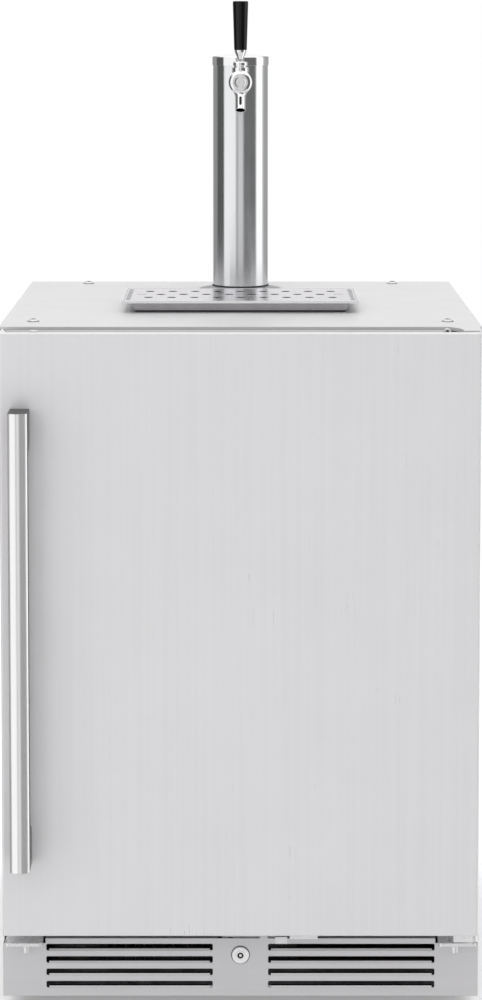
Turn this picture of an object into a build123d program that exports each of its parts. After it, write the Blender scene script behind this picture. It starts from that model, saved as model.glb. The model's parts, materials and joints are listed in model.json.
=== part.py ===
from build123d import *
import math
import os

# Kegerator: a stainless undercounter beer cooler with a single-faucet draft tower.
# Millimetres, +Z up, the front faces -Y, the origin is on the floor under the middle of the object.

# ---- driving dimensions ----------------------------------------------------------------------
WIDTH = 595.0              # over the worktop
HEIGHT = 860.0             # floor to the top face of the worktop
DEPTH = 645.0              # handle front to worktop back
HANDLE_PROJECTION = 45.0
DOOR_THICK = 40.0
GASKET_GAP = 12.0
DOOR_WIDTH = 586.0
DOOR_BOTTOM = 110.0
DOOR_TOP = 859.0
CASING_WIDTH = 591.0
SHEET = 1.2                # steel sheet
LINER_WALL = 2.0
CAVITY_WIDTH = 495.0
CAVITY_FLOOR = 143.0
CAVITY_CEILING = 815.0
CAVITY_BACK = 268.0
CLEAR = 0.3                # air between pieces that move past each other
RUN = 0.06                 # running clearance of pins in their bores

TOWER_DEPTH = 450.0        # worktop front edge to the tower axis
TOWER_R = 38.1

# ---- derived places --------------------------------------------------------------------------
HANDLE_FRONT = -DEPTH / 2
BACK = DEPTH / 2
DOOR_FACE = HANDLE_FRONT + HANDLE_PROJECTION
DOOR_BACK = DOOR_FACE + DOOR_THICK
CASING_FRONT = DOOR_BACK + GASKET_GAP
CASING_BACK = BACK - 4.0
HALF_DOOR = DOOR_WIDTH / 2
HALF_CASING = CASING_WIDTH / 2
HALF_CAVITY = CAVITY_WIDTH / 2
WORKTOP_PLATE = 3.0
CASING_TOP = HEIGHT - WORKTOP_PLATE
CASING_BOTTOM = 24.0
FRAME_BOTTOM = 95.5        # lower edge of the casing's front frame
TOWER_Y = CASING_FRONT + TOWER_DEPTH
HINGE_X = 280.0
HINGE_Y = DOOR_FACE + 30.0
PIN_R = 4.0


def block(x0, x1, y0, y1, z0, z1):
    """A box between its lowest and highest corners."""
    return Pos((x0 + x1) / 2, (y0 + y1) / 2, (z0 + z1) / 2) * Box(x1 - x0, y1 - y0, z1 - z0)


def rod_z(x, y, z0, z1, r):
    return Pos(x, y, (z0 + z1) / 2) * Cylinder(r, z1 - z0)


def rod_y(x, y0, y1, z, r):
    return Pos(x, (y0 + y1) / 2, z) * Rot(90, 0, 0) * Cylinder(r, y1 - y0)


def rod_x(x0, x1, y, z, r):
    return Pos((x0 + x1) / 2, y, z) * Rot(0, 90, 0) * Cylinder(r, x1 - x0)


def turned(points, x, y):
    """A round piece about a vertical axis, from its half outline of (radius, height) points."""
    outline = make_face(Plane.XZ * Polyline(*points, close=True))
    return Pos(x, y, 0) * revolve(outline, Axis.Z)


def turned_y(points, x, z):
    """A round piece about an axis along Y, from its half outline of (radius, y) points."""
    outline = make_face(Plane.XY * Polyline(*points, close=True))
    return Pos(x, 0, z) * revolve(outline, Axis.Y)


def hexagon_z(x, y, z0, z1, across):
    prism = extrude(RegularPolygon(across / 2, 6, major_radius=False), z1 - z0)
    return Pos(x, y, z0) * prism


def hexagon_y(x, y0, y1, z, across):
    prism = extrude(RegularPolygon(across / 2, 6, major_radius=False), y1 - y0)
    return Pos(x, y1, z) * Rot(90, 0, 0) * prism


def joined(pieces):
    """The union of pieces that touch or overlap."""
    whole = pieces[0]
    for piece in pieces[1:]:
        whole = whole + piece
    return whole


def tube_along(points, radius):
    """A round line of straight runs joined by arcs as large as the runs allow."""
    vectors = [Vector(*p) for p in points]
    radii = []
    for before, here, after in zip(vectors, vectors[1:], vectors[2:]):
        turn = math.radians((here - before).get_angle(after - here))
        shorter = min((here - before).length, (after - here).length)
        radii.append(0.45 * shorter / math.tan(turn / 2))
    path = FilletPolyline(*vectors, radius=radii)
    section = Plane(origin=path @ 0, z_dir=path % 0) * Circle(radius)
    line = sweep(section, path=path)
    print("line length", round(path.length, 1), "least bend radius", round(min(radii), 1))
    return line


nodes = {}

# ==== cabinet =================================================================================

# Worktop: a plate with turned-down skirts at the sides and the back.
SKIRT = 12.0
SKIRT_WALL = 1.7
TOWER_HOLE_R = 30.0
half_top = WIDTH / 2
worktop = block(-half_top, half_top, CASING_FRONT, BACK, HEIGHT - SKIRT, HEIGHT)
worktop -= block(-half_top + SKIRT_WALL, half_top - SKIRT_WALL, CASING_FRONT - 1, BACK - SKIRT_WALL,
                 HEIGHT - SKIRT - 1, CASING_TOP)
worktop -= rod_z(0, TOWER_Y, HEIGHT - SKIRT, HEIGHT + 1, TOWER_HOLE_R)
back_corners = worktop.edges().filter_by(Axis.Z).filter_by(lambda e: abs(e.center().X) > half_top - 0.1
                                                           and e.center().Y > BACK - 0.1)
worktop = fillet(back_corners, 1.5)
nodes["worktop"] = worktop

# Outer casing: wrapped sheet sides and top with a front frame round the cavity's opening.
FRAME_OPENING_X = HALF_CAVITY + LINER_WALL + CLEAR
FRAME_OPENING_LOW = CAVITY_FLOOR - LINER_WALL - CLEAR
FRAME_OPENING_HIGH = CAVITY_CEILING + LINER_WALL + CLEAR
casing = block(-HALF_CASING, HALF_CASING, CASING_FRONT, CASING_BACK, CASING_BOTTOM, CASING_TOP)
casing -= block(-HALF_CASING + SHEET, HALF_CASING - SHEET, CASING_FRONT + SHEET, CASING_BACK + 1,
                CASING_BOTTOM - 1, CASING_TOP - SHEET)
casing -= block(-FRAME_OPENING_X, FRAME_OPENING_X, CASING_FRONT - 1, CASING_FRONT + 2 * SHEET,
                FRAME_OPENING_LOW, FRAME_OPENING_HIGH)
casing -= block(-HALF_CASING + 18, HALF_CASING - 18, CASING_FRONT - 1, CASING_FRONT + 2 * SHEET,
                CASING_BOTTOM - 1, FRAME_BOTTOM)
casing -= rod_z(0, TOWER_Y, CASING_TOP - 5, CASING_TOP + 1, TOWER_HOLE_R)
nodes["outer_casing"] = casing

# Compressor bay in the left rear, under the step of the liner.
BAY_LEFT = -270.0
BAY_RIGHT = 75.0
BAY_FRONT = 201.0
BAY_TOP = 178.0
STEP_RIGHT = 97.0
STEP_FRONT = 179.0
STEP_TOP = 200.0
FOAM_BOTTOM = 113.0
FOAM_BACK = 314.0

# Inner liner: a moulded box open at the front, with a step over the compressor bay.
liner = block(-HALF_CAVITY - LINER_WALL, HALF_CAVITY + LINER_WALL, CASING_FRONT, CAVITY_BACK + LINER_WALL,
              CAVITY_FLOOR - LINER_WALL, CAVITY_CEILING + LINER_WALL)
cavity = block(-HALF_CAVITY, HALF_CAVITY, CASING_FRONT - 1, CAVITY_BACK, CAVITY_FLOOR, CAVITY_CEILING)
cavity = fillet(cavity.edges().filter_by(Axis.Y), 5)
step_outer = block(-HALF_CAVITY - 5, STEP_RIGHT, STEP_FRONT, CAVITY_BACK + 5, CAVITY_FLOOR - 5, STEP_TOP)
step_inner = block(-HALF_CAVITY - 5, STEP_RIGHT - LINER_WALL, STEP_FRONT + LINER_WALL, CAVITY_BACK + 5,
                   CAVITY_FLOOR - 5, STEP_TOP - LINER_WALL)
liner = liner - (cavity - step_outer) - step_inner
LINE_HOLE_R = 24.0
liner -= rod_z(0, TOWER_Y, CAVITY_CEILING - 5, CAVITY_CEILING + 10, LINE_HOLE_R)
nodes["inner_liner"] = liner

# Foam between the casing and the liner.
foam = block(-HALF_CASING + SHEET, HALF_CASING - SHEET, CASING_FRONT + SHEET, FOAM_BACK, FOAM_BOTTOM,
             CASING_TOP - SHEET)
liner_envelope = block(-HALF_CAVITY - LINER_WALL, HALF_CAVITY + LINER_WALL, CASING_FRONT - 1,
                       CAVITY_BACK + LINER_WALL, CAVITY_FLOOR - LINER_WALL, CAVITY_CEILING + LINER_WALL)
foam = foam - (liner_envelope - step_inner)
foam -= block(BAY_LEFT, BAY_RIGHT, BAY_FRONT, FOAM_BACK + 1, FOAM_BOTTOM - 1, BAY_TOP)
foam -= rod_z(0, TOWER_Y, CAVITY_CEILING, HEIGHT, LINE_HOLE_R)
nodes["foam_insulation"] = foam

# Back panel over the foam, and the vented cover over the compressor bay.
REAR_COVER_TOP = 188.0
back_half = HALF_CASING - SHEET - CLEAR
nodes["back_panel"] = block(-back_half, back_half, FOAM_BACK, FOAM_BACK + SHEET, REAR_COVER_TOP + 1,
                            CASING_TOP - SHEET - CLEAR)
GLAND_X = 215.0
GLAND_Z = 70.0
GLAND_BORE_R = 3.75
rear_cover = block(-back_half, back_half, FOAM_BACK, FOAM_BACK + SHEET, CASING_BOTTOM + 4, REAR_COVER_TOP)
for column in range(16):
    slot_x = BAY_LEFT + 22 + column * 20
    for low in (50, 112):
        slot = extrude(SlotOverall(46, 7), 6)
        rear_cover -= Pos(slot_x, FOAM_BACK + 4, low + 23) * Rot(90, 0, 0) * Rot(0, 0, 90) * slot
rear_cover -= rod_y(GLAND_X, FOAM_BACK - 2, FOAM_BACK + 3, GLAND_Z, 8.0)
nodes["rear_cover"] = rear_cover

gland = turned_y([(GLAND_BORE_R, FOAM_BACK - 8), (7.8, FOAM_BACK - 8), (7.8, FOAM_BACK + SHEET),
                  (10.0, FOAM_BACK + SHEET), (10.0, FOAM_BACK + 3.2), (6.5, BACK), (GLAND_BORE_R, BACK)],
                 GLAND_X, GLAND_Z)
nodes["cord_gland"] = gland

# Base pan with upturned edges and nuts for the feet.
PAN_LOW = 24.5
PAN_THICK = 2.0
FOOT_X = 245.0
FRONT_FOOT_Y = -150.0
REAR_FOOT_Y = 275.0
FOOT_STUD_R = 5.0
half_pan = HALF_CASING - SHEET - CLEAR
pan = block(-half_pan, half_pan, CASING_FRONT + 12, FOAM_BACK - CLEAR, PAN_LOW, PAN_LOW + 22)
pan -= block(-half_pan + PAN_THICK, half_pan - PAN_THICK, CASING_FRONT + 12 + PAN_THICK,
             FOAM_BACK - CLEAR - PAN_THICK, PAN_LOW + PAN_THICK, PAN_LOW + 40)
for side in (-1, 1):
    for foot_y in (FRONT_FOOT_Y, REAR_FOOT_Y):
        pan += hexagon_z(side * FOOT_X, foot_y, PAN_LOW + PAN_THICK, PAN_LOW + PAN_THICK + 8, 17)
        pan -= rod_z(side * FOOT_X, foot_y, 0, 60, FOOT_STUD_R + RUN)
nodes["base_pan"] = pan

# Plate that spreads the keg's weight over the cavity floor.
PLATE_TOP = CAVITY_FLOOR + 2.0
plate_half = HALF_CAVITY - 15
floor_plate = block(-plate_half, plate_half, CASING_FRONT + 12, STEP_FRONT - 4, CAVITY_FLOOR, PLATE_TOP)
floor_plate += block(STEP_RIGHT + 6, plate_half, STEP_FRONT - 5, CAVITY_BACK - 2, CAVITY_FLOOR, PLATE_TOP)
KEG_X = -40.0
KEG_Y = -28.0
floor_plate += rod_z(KEG_X, KEG_Y, PLATE_TOP - 0.5, PLATE_TOP + 1.0, 184)
nodes["keg_floor_plate"] = floor_plate

# Toe-kick: a louvred front with returns, and the guide of the lock bolt behind it.
KICK_FACE = DOOR_FACE + 36.0
KICK_BOTTOM = 21.7
KICK_TOP = 95.0
KICK_HALF = 296.0
LOCK_Z = 74.0
LOUVRE_INNER = 34.5
LOUVRE_OUTER = 242.0
LOUVRE_HEIGHT = 8.5
LOUVRE_PITCH = 15.8
LOUVRE_LOW_Z = 36.4
kick = block(-KICK_HALF, KICK_HALF, KICK_FACE, CASING_FRONT - CLEAR, KICK_BOTTOM, KICK_TOP)
kick -= block(-KICK_HALF + SHEET, KICK_HALF - SHEET, KICK_FACE + SHEET, CASING_FRONT + 1, KICK_BOTTOM + SHEET,
              KICK_TOP + 1)
louvre_length = LOUVRE_OUTER - LOUVRE_INNER
louvre_mid = (LOUVRE_OUTER + LOUVRE_INNER) / 2
for side in (-1, 1):
    for row in range(4):
        louvre_z = LOUVRE_LOW_Z + row * LOUVRE_PITCH
        slot = extrude(RectangleRounded(louvre_length, LOUVRE_HEIGHT, 1.8), 4 * SHEET)
        kick -= Pos(side * louvre_mid, KICK_FACE + 3 * SHEET, louvre_z) * Rot(90, 0, 0) * slot
        blade = Box(louvre_length - 7, 0.8, 4.8)
        blade_place = Pos(side * louvre_mid, KICK_FACE + 1.9, louvre_z - 2.9) * Rot(-33, 0, 0)
        kick += blade_place * blade
kick -= rod_y(0, KICK_FACE - 1, KICK_FACE + 3, LOCK_Z, 9.5)
BRACKET_LEFT = 246.0
for side in (-1, 1):
    low_x, high_x = sorted((side * (BRACKET_LEFT - 3), side * (KICK_HALF + 1)))
    kick -= block(low_x, high_x, KICK_FACE - 1, CASING_FRONT + 1, 89.0, KICK_TOP + 1)
BOLT_Y0 = KICK_FACE + 4.0
BOLT_Y1 = BOLT_Y0 + 3.0
BOLT_LOW = 78.5
BOLT_HIGH = 97.0
BAR_LOW = 89.5
GUIDE_X0 = 24.0
GUIDE_X1 = 34.0
guide_y0 = KICK_FACE + SHEET - 0.1
guide_y1 = BOLT_Y1 + 2
guide_low = BAR_LOW - CLEAR
guide_high = BOLT_HIGH + CLEAR
kick += block(GUIDE_X0, GUIDE_X1, guide_y0, guide_y1, guide_low - 2, guide_low)
kick += block(GUIDE_X0, GUIDE_X1, BOLT_Y1 + CLEAR, guide_y1, guide_low - 1, guide_high + 2)
kick += block(GUIDE_X0, GUIDE_X1, guide_y0, guide_y1, guide_high, guide_high + 2)
kick += block(GUIDE_X0, GUIDE_X1, KICK_FACE, KICK_FACE + SHEET, KICK_TOP - 5, guide_high + 2)
shelf_half = BRACKET_LEFT - 3
CAM_Y0 = KICK_FACE + 1.6
kick_shelf = block(-shelf_half, shelf_half, guide_y0, CASING_FRONT - 1, KICK_TOP - SHEET, KICK_TOP)
kick += kick_shelf - block(-28, 88, CAM_Y0 - 0.3, BOLT_Y1 + 2.5, KICK_TOP - 2, KICK_TOP + 1)
nodes["toe_kick"] = kick

# Lock cylinder in the toe-kick, with its tubular-key plug, cam and sliding bolt.
PLUG_R = 6.0
CAM_R = 17.7               # cam pin's distance from the lock's axis
lock_cylinder = turned_y([(PLUG_R + RUN, KICK_FACE - 2.5), (9.6, KICK_FACE - 2.5), (10.7, KICK_FACE - 1.4),
                          (10.7, KICK_FACE), (9.4, KICK_FACE), (9.4, KICK_FACE + 1.3),
                          (PLUG_R + RUN, KICK_FACE + 1.3)], 0, LOCK_Z)
nodes["lock_cylinder"] = lock_cylinder
lock_plug = rod_y(0, KICK_FACE - 3.0, CAM_Y0, LOCK_Z, PLUG_R)
keyway = rod_y(0, KICK_FACE - 4.0, KICK_FACE - 0.5, LOCK_Z, 3.9)
keyway -= rod_y(0, KICK_FACE - 4.0, KICK_FACE, LOCK_Z, 1.6)
lock_plug -= keyway
pin_shift = CAM_R * math.sin(math.radians(45))
lock_plug += rod_y(0, CAM_Y0 - 0.1, CAM_Y0 + 2.0, LOCK_Z, 7.5)
cam_arm = Pos(-pin_shift / 2, CAM_Y0 + 1.0, LOCK_Z + pin_shift / 2) * Rot(0, 45, 0) * Box(CAM_R, 2.0, 7.0)
lock_plug += cam_arm
lock_plug += rod_y(-pin_shift, CAM_Y0, CAM_Y0 + 2.0, LOCK_Z + pin_shift, 3.5)
lock_plug += rod_y(-pin_shift, CAM_Y0 + 1.0, BOLT_Y1 + 1.0, LOCK_Z + pin_shift, 2.5)
nodes["lock_plug"] = lock_plug
PIN_SLOT_HALF = 2.5 + 0.8
TONGUE_X0 = 43.0
TONGUE_X1 = 58.0
TONGUE_TOP = 104.0
bolt = block(-23, -2, BOLT_Y0, BOLT_Y1, BOLT_LOW, BOLT_HIGH)
bolt += block(-3, TONGUE_X1, BOLT_Y0, BOLT_Y1, BAR_LOW, BOLT_HIGH)
slot_x0 = -pin_shift - PIN_SLOT_HALF
slot_x1 = -pin_shift + PIN_SLOT_HALF
bolt -= block(slot_x0, slot_x1, BOLT_Y0 - 1, BOLT_Y1 + 1, BOLT_LOW + 3.5, BOLT_HIGH - 1.8)
bolt += block(TONGUE_X0, TONGUE_X1, DOOR_FACE + 15, BOLT_Y1, KICK_TOP + 0.3, BOLT_HIGH)
bolt += block(TONGUE_X0, TONGUE_X1, DOOR_FACE + 15, DOOR_FACE + 18, KICK_TOP + 0.3, TONGUE_TOP)
nodes["lock_bolt"] = bolt

# Top hinge plate: a tongue forward of the worktop, with its pin.
HINGE_PLATE_LOW = HEIGHT - 4.3
tongue_front = DOOR_FACE + 12.0
tongue_outline = make_face([
    Line((256, CASING_FRONT), (294.3, CASING_FRONT)),
    Line((294.3, CASING_FRONT), (294.3, tongue_front + 3)),
    Line((294.3, tongue_front + 3), (291.3, tongue_front)),
    Line((291.3, tongue_front), (272, tongue_front)),
    ThreePointArc((272, tongue_front), (268, tongue_front + 24), (256, CASING_FRONT)),
])
top_hinge = Pos(0, 0, HINGE_PLATE_LOW) * extrude(tongue_outline, HEIGHT - HINGE_PLATE_LOW)
top_hinge += rod_z(HINGE_X, HINGE_Y, 838, HINGE_PLATE_LOW + 1, PIN_R)
nodes["top_hinge_plate"] = top_hinge

# Bottom hinge brackets: one carries the door, the left one is the spare for a reversed door.
BRACKET_LOW = 90.2
BRACKET_HIGH = 94.5
STOP_PEG_X = 266.2
PIN_SHOULDER_TOP = 101.2
brackets = []
for side in (-1, 1):
    low_x, high_x = sorted((side * BRACKET_LEFT, side * 292.5))
    bracket = block(low_x, high_x, DOOR_FACE + 19, CASING_FRONT, BRACKET_LOW, BRACKET_HIGH)
    front_corners = bracket.edges().filter_by(Axis.Z).filter_by(lambda e: e.center().Y < DOOR_FACE + 20)
    bracket = fillet(front_corners, 4)
    bracket += block(low_x, high_x, CASING_FRONT - 2.5, CASING_FRONT, BRACKET_LOW, 122)
    bracket += rod_z(side * STOP_PEG_X, DOOR_FACE + 25, 81.2, BRACKET_LOW + 0.5, 4.1)
    if side == 1:
        bracket += rod_z(HINGE_X, HINGE_Y, BRACKET_HIGH - 0.5, PIN_SHOULDER_TOP, 7.5)
        bracket += rod_z(HINGE_X, HINGE_Y, BRACKET_HIGH, 126, PIN_R)
    brackets.append(bracket)
nodes["bottom_hinge_brackets"] = Compound(children=[Part() + b for b in brackets])

# ---- refrigeration ---------------------------------------------------------------------------
# Compressor: a horizontal can on two saddles, with its rubber grommets.
COMP_Y = 259.0
COMP_Z = 108.0
COMP_R = 50.0
CAN_END_R = 15.0
can_outline = make_face([
    Line((-215, 0), (10, 0)),
    Line((10, 0), (10, CAN_END_R)),
    ThreePointArc((10, CAN_END_R), (5, 38), (-10, COMP_R)),
    Line((-10, COMP_R), (-195, COMP_R)),
    ThreePointArc((-195, COMP_R), (-210, 38), (-215, CAN_END_R)),
    Line((-215, CAN_END_R), (-215, 0)),
])
compressor = Pos(0, COMP_Y, COMP_Z) * revolve(can_outline, Axis.X)
for saddle_x in (-170, -35):
    saddle = block(saddle_x - 8, saddle_x + 8, COMP_Y - 46, COMP_Y + 46, 38.0, COMP_Z - 20)
    compressor += saddle
compressor += rod_z(-150, COMP_Y, COMP_Z + COMP_R - 3, COMP_Z + COMP_R + 10, 4)
compressor += block(-60, -20, COMP_Y - 20, COMP_Y + 20, COMP_Z + COMP_R - 10, COMP_Z + COMP_R + 14)
grommets = [rod_z(saddle_x, COMP_Y + dy, PAN_LOW + PAN_THICK, 38.0, 7)
            for saddle_x in (-170, -35) for dy in (-36, 36)]
nodes["compressor"] = Compound(children=[Part() + compressor] + [Part() + g for g in grommets])

# Condenser: a serpentine tube in a stack of fins behind the toe-kick.
COND_Y0 = -195.0
COND_Y1 = -140.0
COND_LOW = 38.0
COND_HIGH = 104.0
COND_X0 = -170.0
COND_X1 = 70.0
fins = joined([block(COND_X0, COND_X0 + 1.5, COND_Y0, COND_Y1, COND_LOW, COND_HIGH),
               block(COND_X1 - 1.5, COND_X1, COND_Y0, COND_Y1, COND_LOW, COND_HIGH)]
              + [rod_x(COND_X0, COND_X1, COND_Y0 + 14 + 27 * layer, COND_LOW + 11 + 22 * row, 4.0)
                 for layer in range(2) for row in range(3)]
              + [block(fin_x, fin_x + 1.0, COND_Y0 + 2, COND_Y1 - 2, COND_LOW + 2, COND_HIGH - 2)
                 for fin_x in [COND_X0 + 12 * k for k in range(1, 20)]])
fins += block(COND_X0, COND_X1, COND_Y0 + 20, COND_Y1 - 20, PAN_LOW + PAN_THICK, COND_LOW + 3)
nodes["condenser_coil"] = fins

FAN_X = -50.0
FAN_Z = 72.0
FAN_R = 33.0
SHROUD_Y0 = -128.0
SHROUD_Y1 = -100.0
shroud = block(FAN_X - 42, FAN_X + 42, SHROUD_Y0, SHROUD_Y1, PAN_LOW + PAN_THICK, 111)
shroud -= rod_y(FAN_X, SHROUD_Y0 - 1, SHROUD_Y1 + 1, FAN_Z, FAN_R + 2.5)
for angle in (45, 135, 225, 315):
    spoke = Pos(FAN_X, SHROUD_Y1 - 2, FAN_Z) * Rot(0, angle, 0) * Pos(0, 0, 22) * Box(4, 3, 36)
    shroud += spoke
shroud += rod_y(FAN_X, SHROUD_Y1 - 3.5, SHROUD_Y1 + 18, FAN_Z, 15)
shroud -= rod_y(FAN_X, SHROUD_Y0, SHROUD_Y1 + 10, FAN_Z, 2.5 + RUN)
nodes["condenser_fan_motor"] = shroud


def axial_fan(x, z, y0, depth, hub_r, tip_r, blades, shaft_end):
    """A hub with pitched blades about an axis along Y, and its shaft."""
    fan = rod_y(x, y0, y0 + depth, z, hub_r)
    span = tip_r - hub_r + 2
    for k in range(blades):
        blade = Pos(0, 0, hub_r - 2 + span / 2) * Rot(0, 0, 38) * Box(span * 0.75, 1.4, span)
        trimmed = blade & rod_y(0, -depth, depth, 0, tip_r)
        fan += Pos(x, y0 + depth / 2, z) * Rot(0, 360 * k / blades, 0) * trimmed
    return fan + rod_y(x, y0 + depth - 1, shaft_end, z, 2.5)


nodes["condenser_fan"] = axial_fan(FAN_X, FAN_Z, SHROUD_Y0 + 5, 12, 10, FAN_R, 5, SHROUD_Y1 + 9)

# Evaporator: a finned coil and its fan behind a cover on the cavity's back wall.
EVAP_X0 = -236.0
EVAP_X1 = -62.0
EVAP_Z0 = 585.0
EVAP_Z1 = 762.0
EVAP_Y0 = 208.0
EVAP_FAN_X = (EVAP_X0 + EVAP_X1) / 2
EVAP_FAN_Z = 706.0
EVAP_FAN_R = 36.0
cover = block(EVAP_X0, EVAP_X1, EVAP_Y0, CAVITY_BACK, EVAP_Z0, EVAP_Z1)
cover = fillet(cover.edges().filter_by(Axis.Y), 10)
cover -= block(EVAP_X0 + 2, EVAP_X1 - 2, EVAP_Y0 + 2, CAVITY_BACK + 1, EVAP_Z0 + 2, EVAP_Z1 - 2)
cover -= rod_y(EVAP_FAN_X, EVAP_Y0 - 1, EVAP_Y0 + 3, EVAP_FAN_Z, EVAP_FAN_R + 4)
for guard_r in (14, 25, 36):
    guard = rod_y(EVAP_FAN_X, EVAP_Y0, EVAP_Y0 + 2, EVAP_FAN_Z, guard_r + 1)
    guard -= rod_y(EVAP_FAN_X, EVAP_Y0 - 1, EVAP_Y0 + 3, EVAP_FAN_Z, guard_r - 1)
    cover += guard
for angle in range(0, 360, 60):
    cover += Pos(EVAP_FAN_X, EVAP_Y0 + 1, EVAP_FAN_Z) * Rot(0, angle, 0) * Pos(0, 0, 27) * Box(2.5, 2, 27)
for row in range(6):
    vent_z = EVAP_Z0 + 14 + row * 9
    cover -= block(EVAP_X0 + 22, EVAP_X1 - 22, EVAP_Y0 - 1, EVAP_Y0 + 3, vent_z, vent_z + 4)
nodes["evaporator_cover"] = cover
coil = joined([block(EVAP_X0 + 6, EVAP_X1 - 6, 254, CAVITY_BACK, EVAP_Z0 + 8, EVAP_Z1 - 8)]
              + [block(EVAP_X0 + 6, EVAP_X1 - 6, 226, 255, EVAP_Z0 + 10 + 5 * k, EVAP_Z0 + 11 + 5 * k)
                 for k in range(12)]
              + [rod_z(EVAP_X0 + 24 + 31.5 * k, 240, EVAP_Z0 + 8, EVAP_Z0 + 70, 4) for k in range(5)]
              + [rod_y(EVAP_FAN_X, 232, 255, EVAP_FAN_Z, 14)])
coil -= rod_y(EVAP_FAN_X, 225, 250, EVAP_FAN_Z, 2.5 + RUN)
nodes["evaporator_coil"] = coil
nodes["evaporator_fan"] = axial_fan(EVAP_FAN_X, EVAP_FAN_Z, EVAP_Y0 + 5, 12, 11, EVAP_FAN_R, 5, 248)

# Thermostat housing and light bar under the cavity's ceiling.
thermostat = block(-90, 90, -200, -130, 787, CAVITY_CEILING)
thermostat = chamfer(thermostat.edges().filter_by(Axis.X).group_by(Axis.Z)[0].sort_by(Axis.Y)[0], 12)
for k in (-1, 0, 1):
    thermostat += rod_z(k * 22, -158, 785.5, 788, 6)
nodes["thermostat_housing"] = thermostat
light = block(115, 225, -195, -165, 803, CAVITY_CEILING)
nodes["led_light_bar"] = fillet(light.edges().filter_by(Axis.X).group_by(Axis.Z)[0], 5)

# ==== door ====================================================================================
SKIN = 1.0
FOLD = 5.0
CAP_TOP = DOOR_TOP - 4.0
CAP_BOTTOM = DOOR_BOTTOM + 1.5
DOOR_INNER = DOOR_BACK - 2.0
skin = block(-HALF_DOOR, HALF_DOOR, DOOR_FACE, DOOR_BACK, DOOR_BOTTOM, DOOR_TOP)
front_edges = skin.edges().filter_by(lambda e: abs(e.center().Y - DOOR_FACE) < 0.1)
skin = fillet(front_edges, 2.5)
skin -= block(-HALF_DOOR + SKIN, HALF_DOOR - SKIN, DOOR_FACE + SKIN, DOOR_BACK + 1, DOOR_BOTTOM + SKIN,
              DOOR_TOP - SKIN)
fold_outline = Polyline((-HALF_DOOR + 7.5, DOOR_FACE + FOLD), (HALF_DOOR - 7.5, DOOR_FACE + FOLD),
                        (HALF_DOOR - SKIN, DOOR_BACK + 1), (-HALF_DOOR + SKIN, DOOR_BACK + 1), close=True)
fold_opening = Pos(0, 0, DOOR_BOTTOM - 1) * extrude(make_face(fold_outline), DOOR_TOP - DOOR_BOTTOM + 2)
skin -= fold_opening
skin -= block(HINGE_X + 4, HALF_DOOR + 1, DOOR_FACE + FOLD, DOOR_BACK + 1, CAP_TOP, DOOR_TOP + 1)
skin -= block(HALF_DOOR - 12, HALF_DOOR + 1, DOOR_FACE + FOLD, DOOR_BACK + 1, DOOR_TOP - 1.5, DOOR_TOP + 1)
nodes["door_skin"] = skin

# Plastic caps close the door's top and bottom, with plugged bushes for either hinge side.
BUSH_R = 7.8
BUSH_DEEP = 20.0
inner_x = HALF_DOOR - SKIN
caps = []
for cap_low, cap_high, bush_low, bush_high in (
        (CAP_TOP - 3, CAP_TOP, CAP_TOP - BUSH_DEEP, CAP_TOP - 3),
        (CAP_BOTTOM, CAP_BOTTOM + 3, CAP_BOTTOM + 3, CAP_BOTTOM + BUSH_DEEP)):
    cap = block(-inner_x, inner_x, DOOR_FACE + SKIN, DOOR_INNER, cap_low, cap_high)
    for side in (-1, 1):
        cap += rod_z(side * HINGE_X, HINGE_Y, bush_low, bush_high, BUSH_R)
    cap -= rod_z(HINGE_X, HINGE_Y, bush_low - 1, bush_high + 4, PIN_R + RUN)
    cap -= rod_z(HINGE_X, HINGE_Y, cap_low - 1, cap_high + 1, PIN_R + RUN)
    caps.append(cap)
PLUG_X = 252.0
caps.append(rod_z(-PLUG_X, DOOR_FACE + 17, CAP_TOP, CAP_TOP + 3.6, 4.5))
ring = rod_z(PLUG_X, DOOR_FACE + 15, CAP_TOP, CAP_TOP + 3.6, 5.5)
ring -= rod_z(PLUG_X, DOOR_FACE + 15, CAP_TOP + 1, HEIGHT, 3.6)
caps.append(ring)
nodes["door_end_caps"] = Compound(children=[Part() + c for c in caps])

# Door liner closes the back of the door and carries the gasket.
door_liner = block(-inner_x, inner_x, DOOR_INNER, DOOR_BACK, DOOR_BOTTOM + SKIN, DOOR_TOP - SKIN)
panel = block(-225, 225, DOOR_BACK - 0.5, DOOR_BACK + 2, 158, 810)
door_liner += fillet(panel.edges().filter_by(Axis.Y), 22)
door_liner -= block(HINGE_X - 30, HALF_DOOR, DOOR_INNER - 1, DOOR_BACK + 1, CAP_TOP, DOOR_TOP)
nodes["door_liner"] = door_liner

door_foam = block(-inner_x, inner_x, DOOR_FACE + SKIN, DOOR_INNER, CAP_BOTTOM + 3, CAP_TOP - 3)
for side in (-1, 1):
    door_foam -= rod_z(side * HINGE_X, HINGE_Y, CAP_TOP - BUSH_DEEP - 1, CAP_TOP, BUSH_R)
    door_foam -= rod_z(side * HINGE_X, HINGE_Y, CAP_BOTTOM, CAP_BOTTOM + BUSH_DEEP + 1, BUSH_R)
nodes["door_foam"] = door_foam

GASKET_OUT_X = 268.0
GASKET_LOW = 125.0
GASKET_HIGH = 843.0
GASKET_WIDE = 15.0
gasket = block(-GASKET_OUT_X, GASKET_OUT_X, DOOR_BACK, CASING_FRONT - CLEAR, GASKET_LOW, GASKET_HIGH)
gasket = fillet(gasket.edges().filter_by(Axis.Y), 10)
gasket_hole = block(-GASKET_OUT_X + GASKET_WIDE, GASKET_OUT_X - GASKET_WIDE, DOOR_BACK - 1, CASING_FRONT,
                    GASKET_LOW + GASKET_WIDE, GASKET_HIGH - GASKET_WIDE)
nodes["door_gasket"] = gasket - gasket_hole

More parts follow.
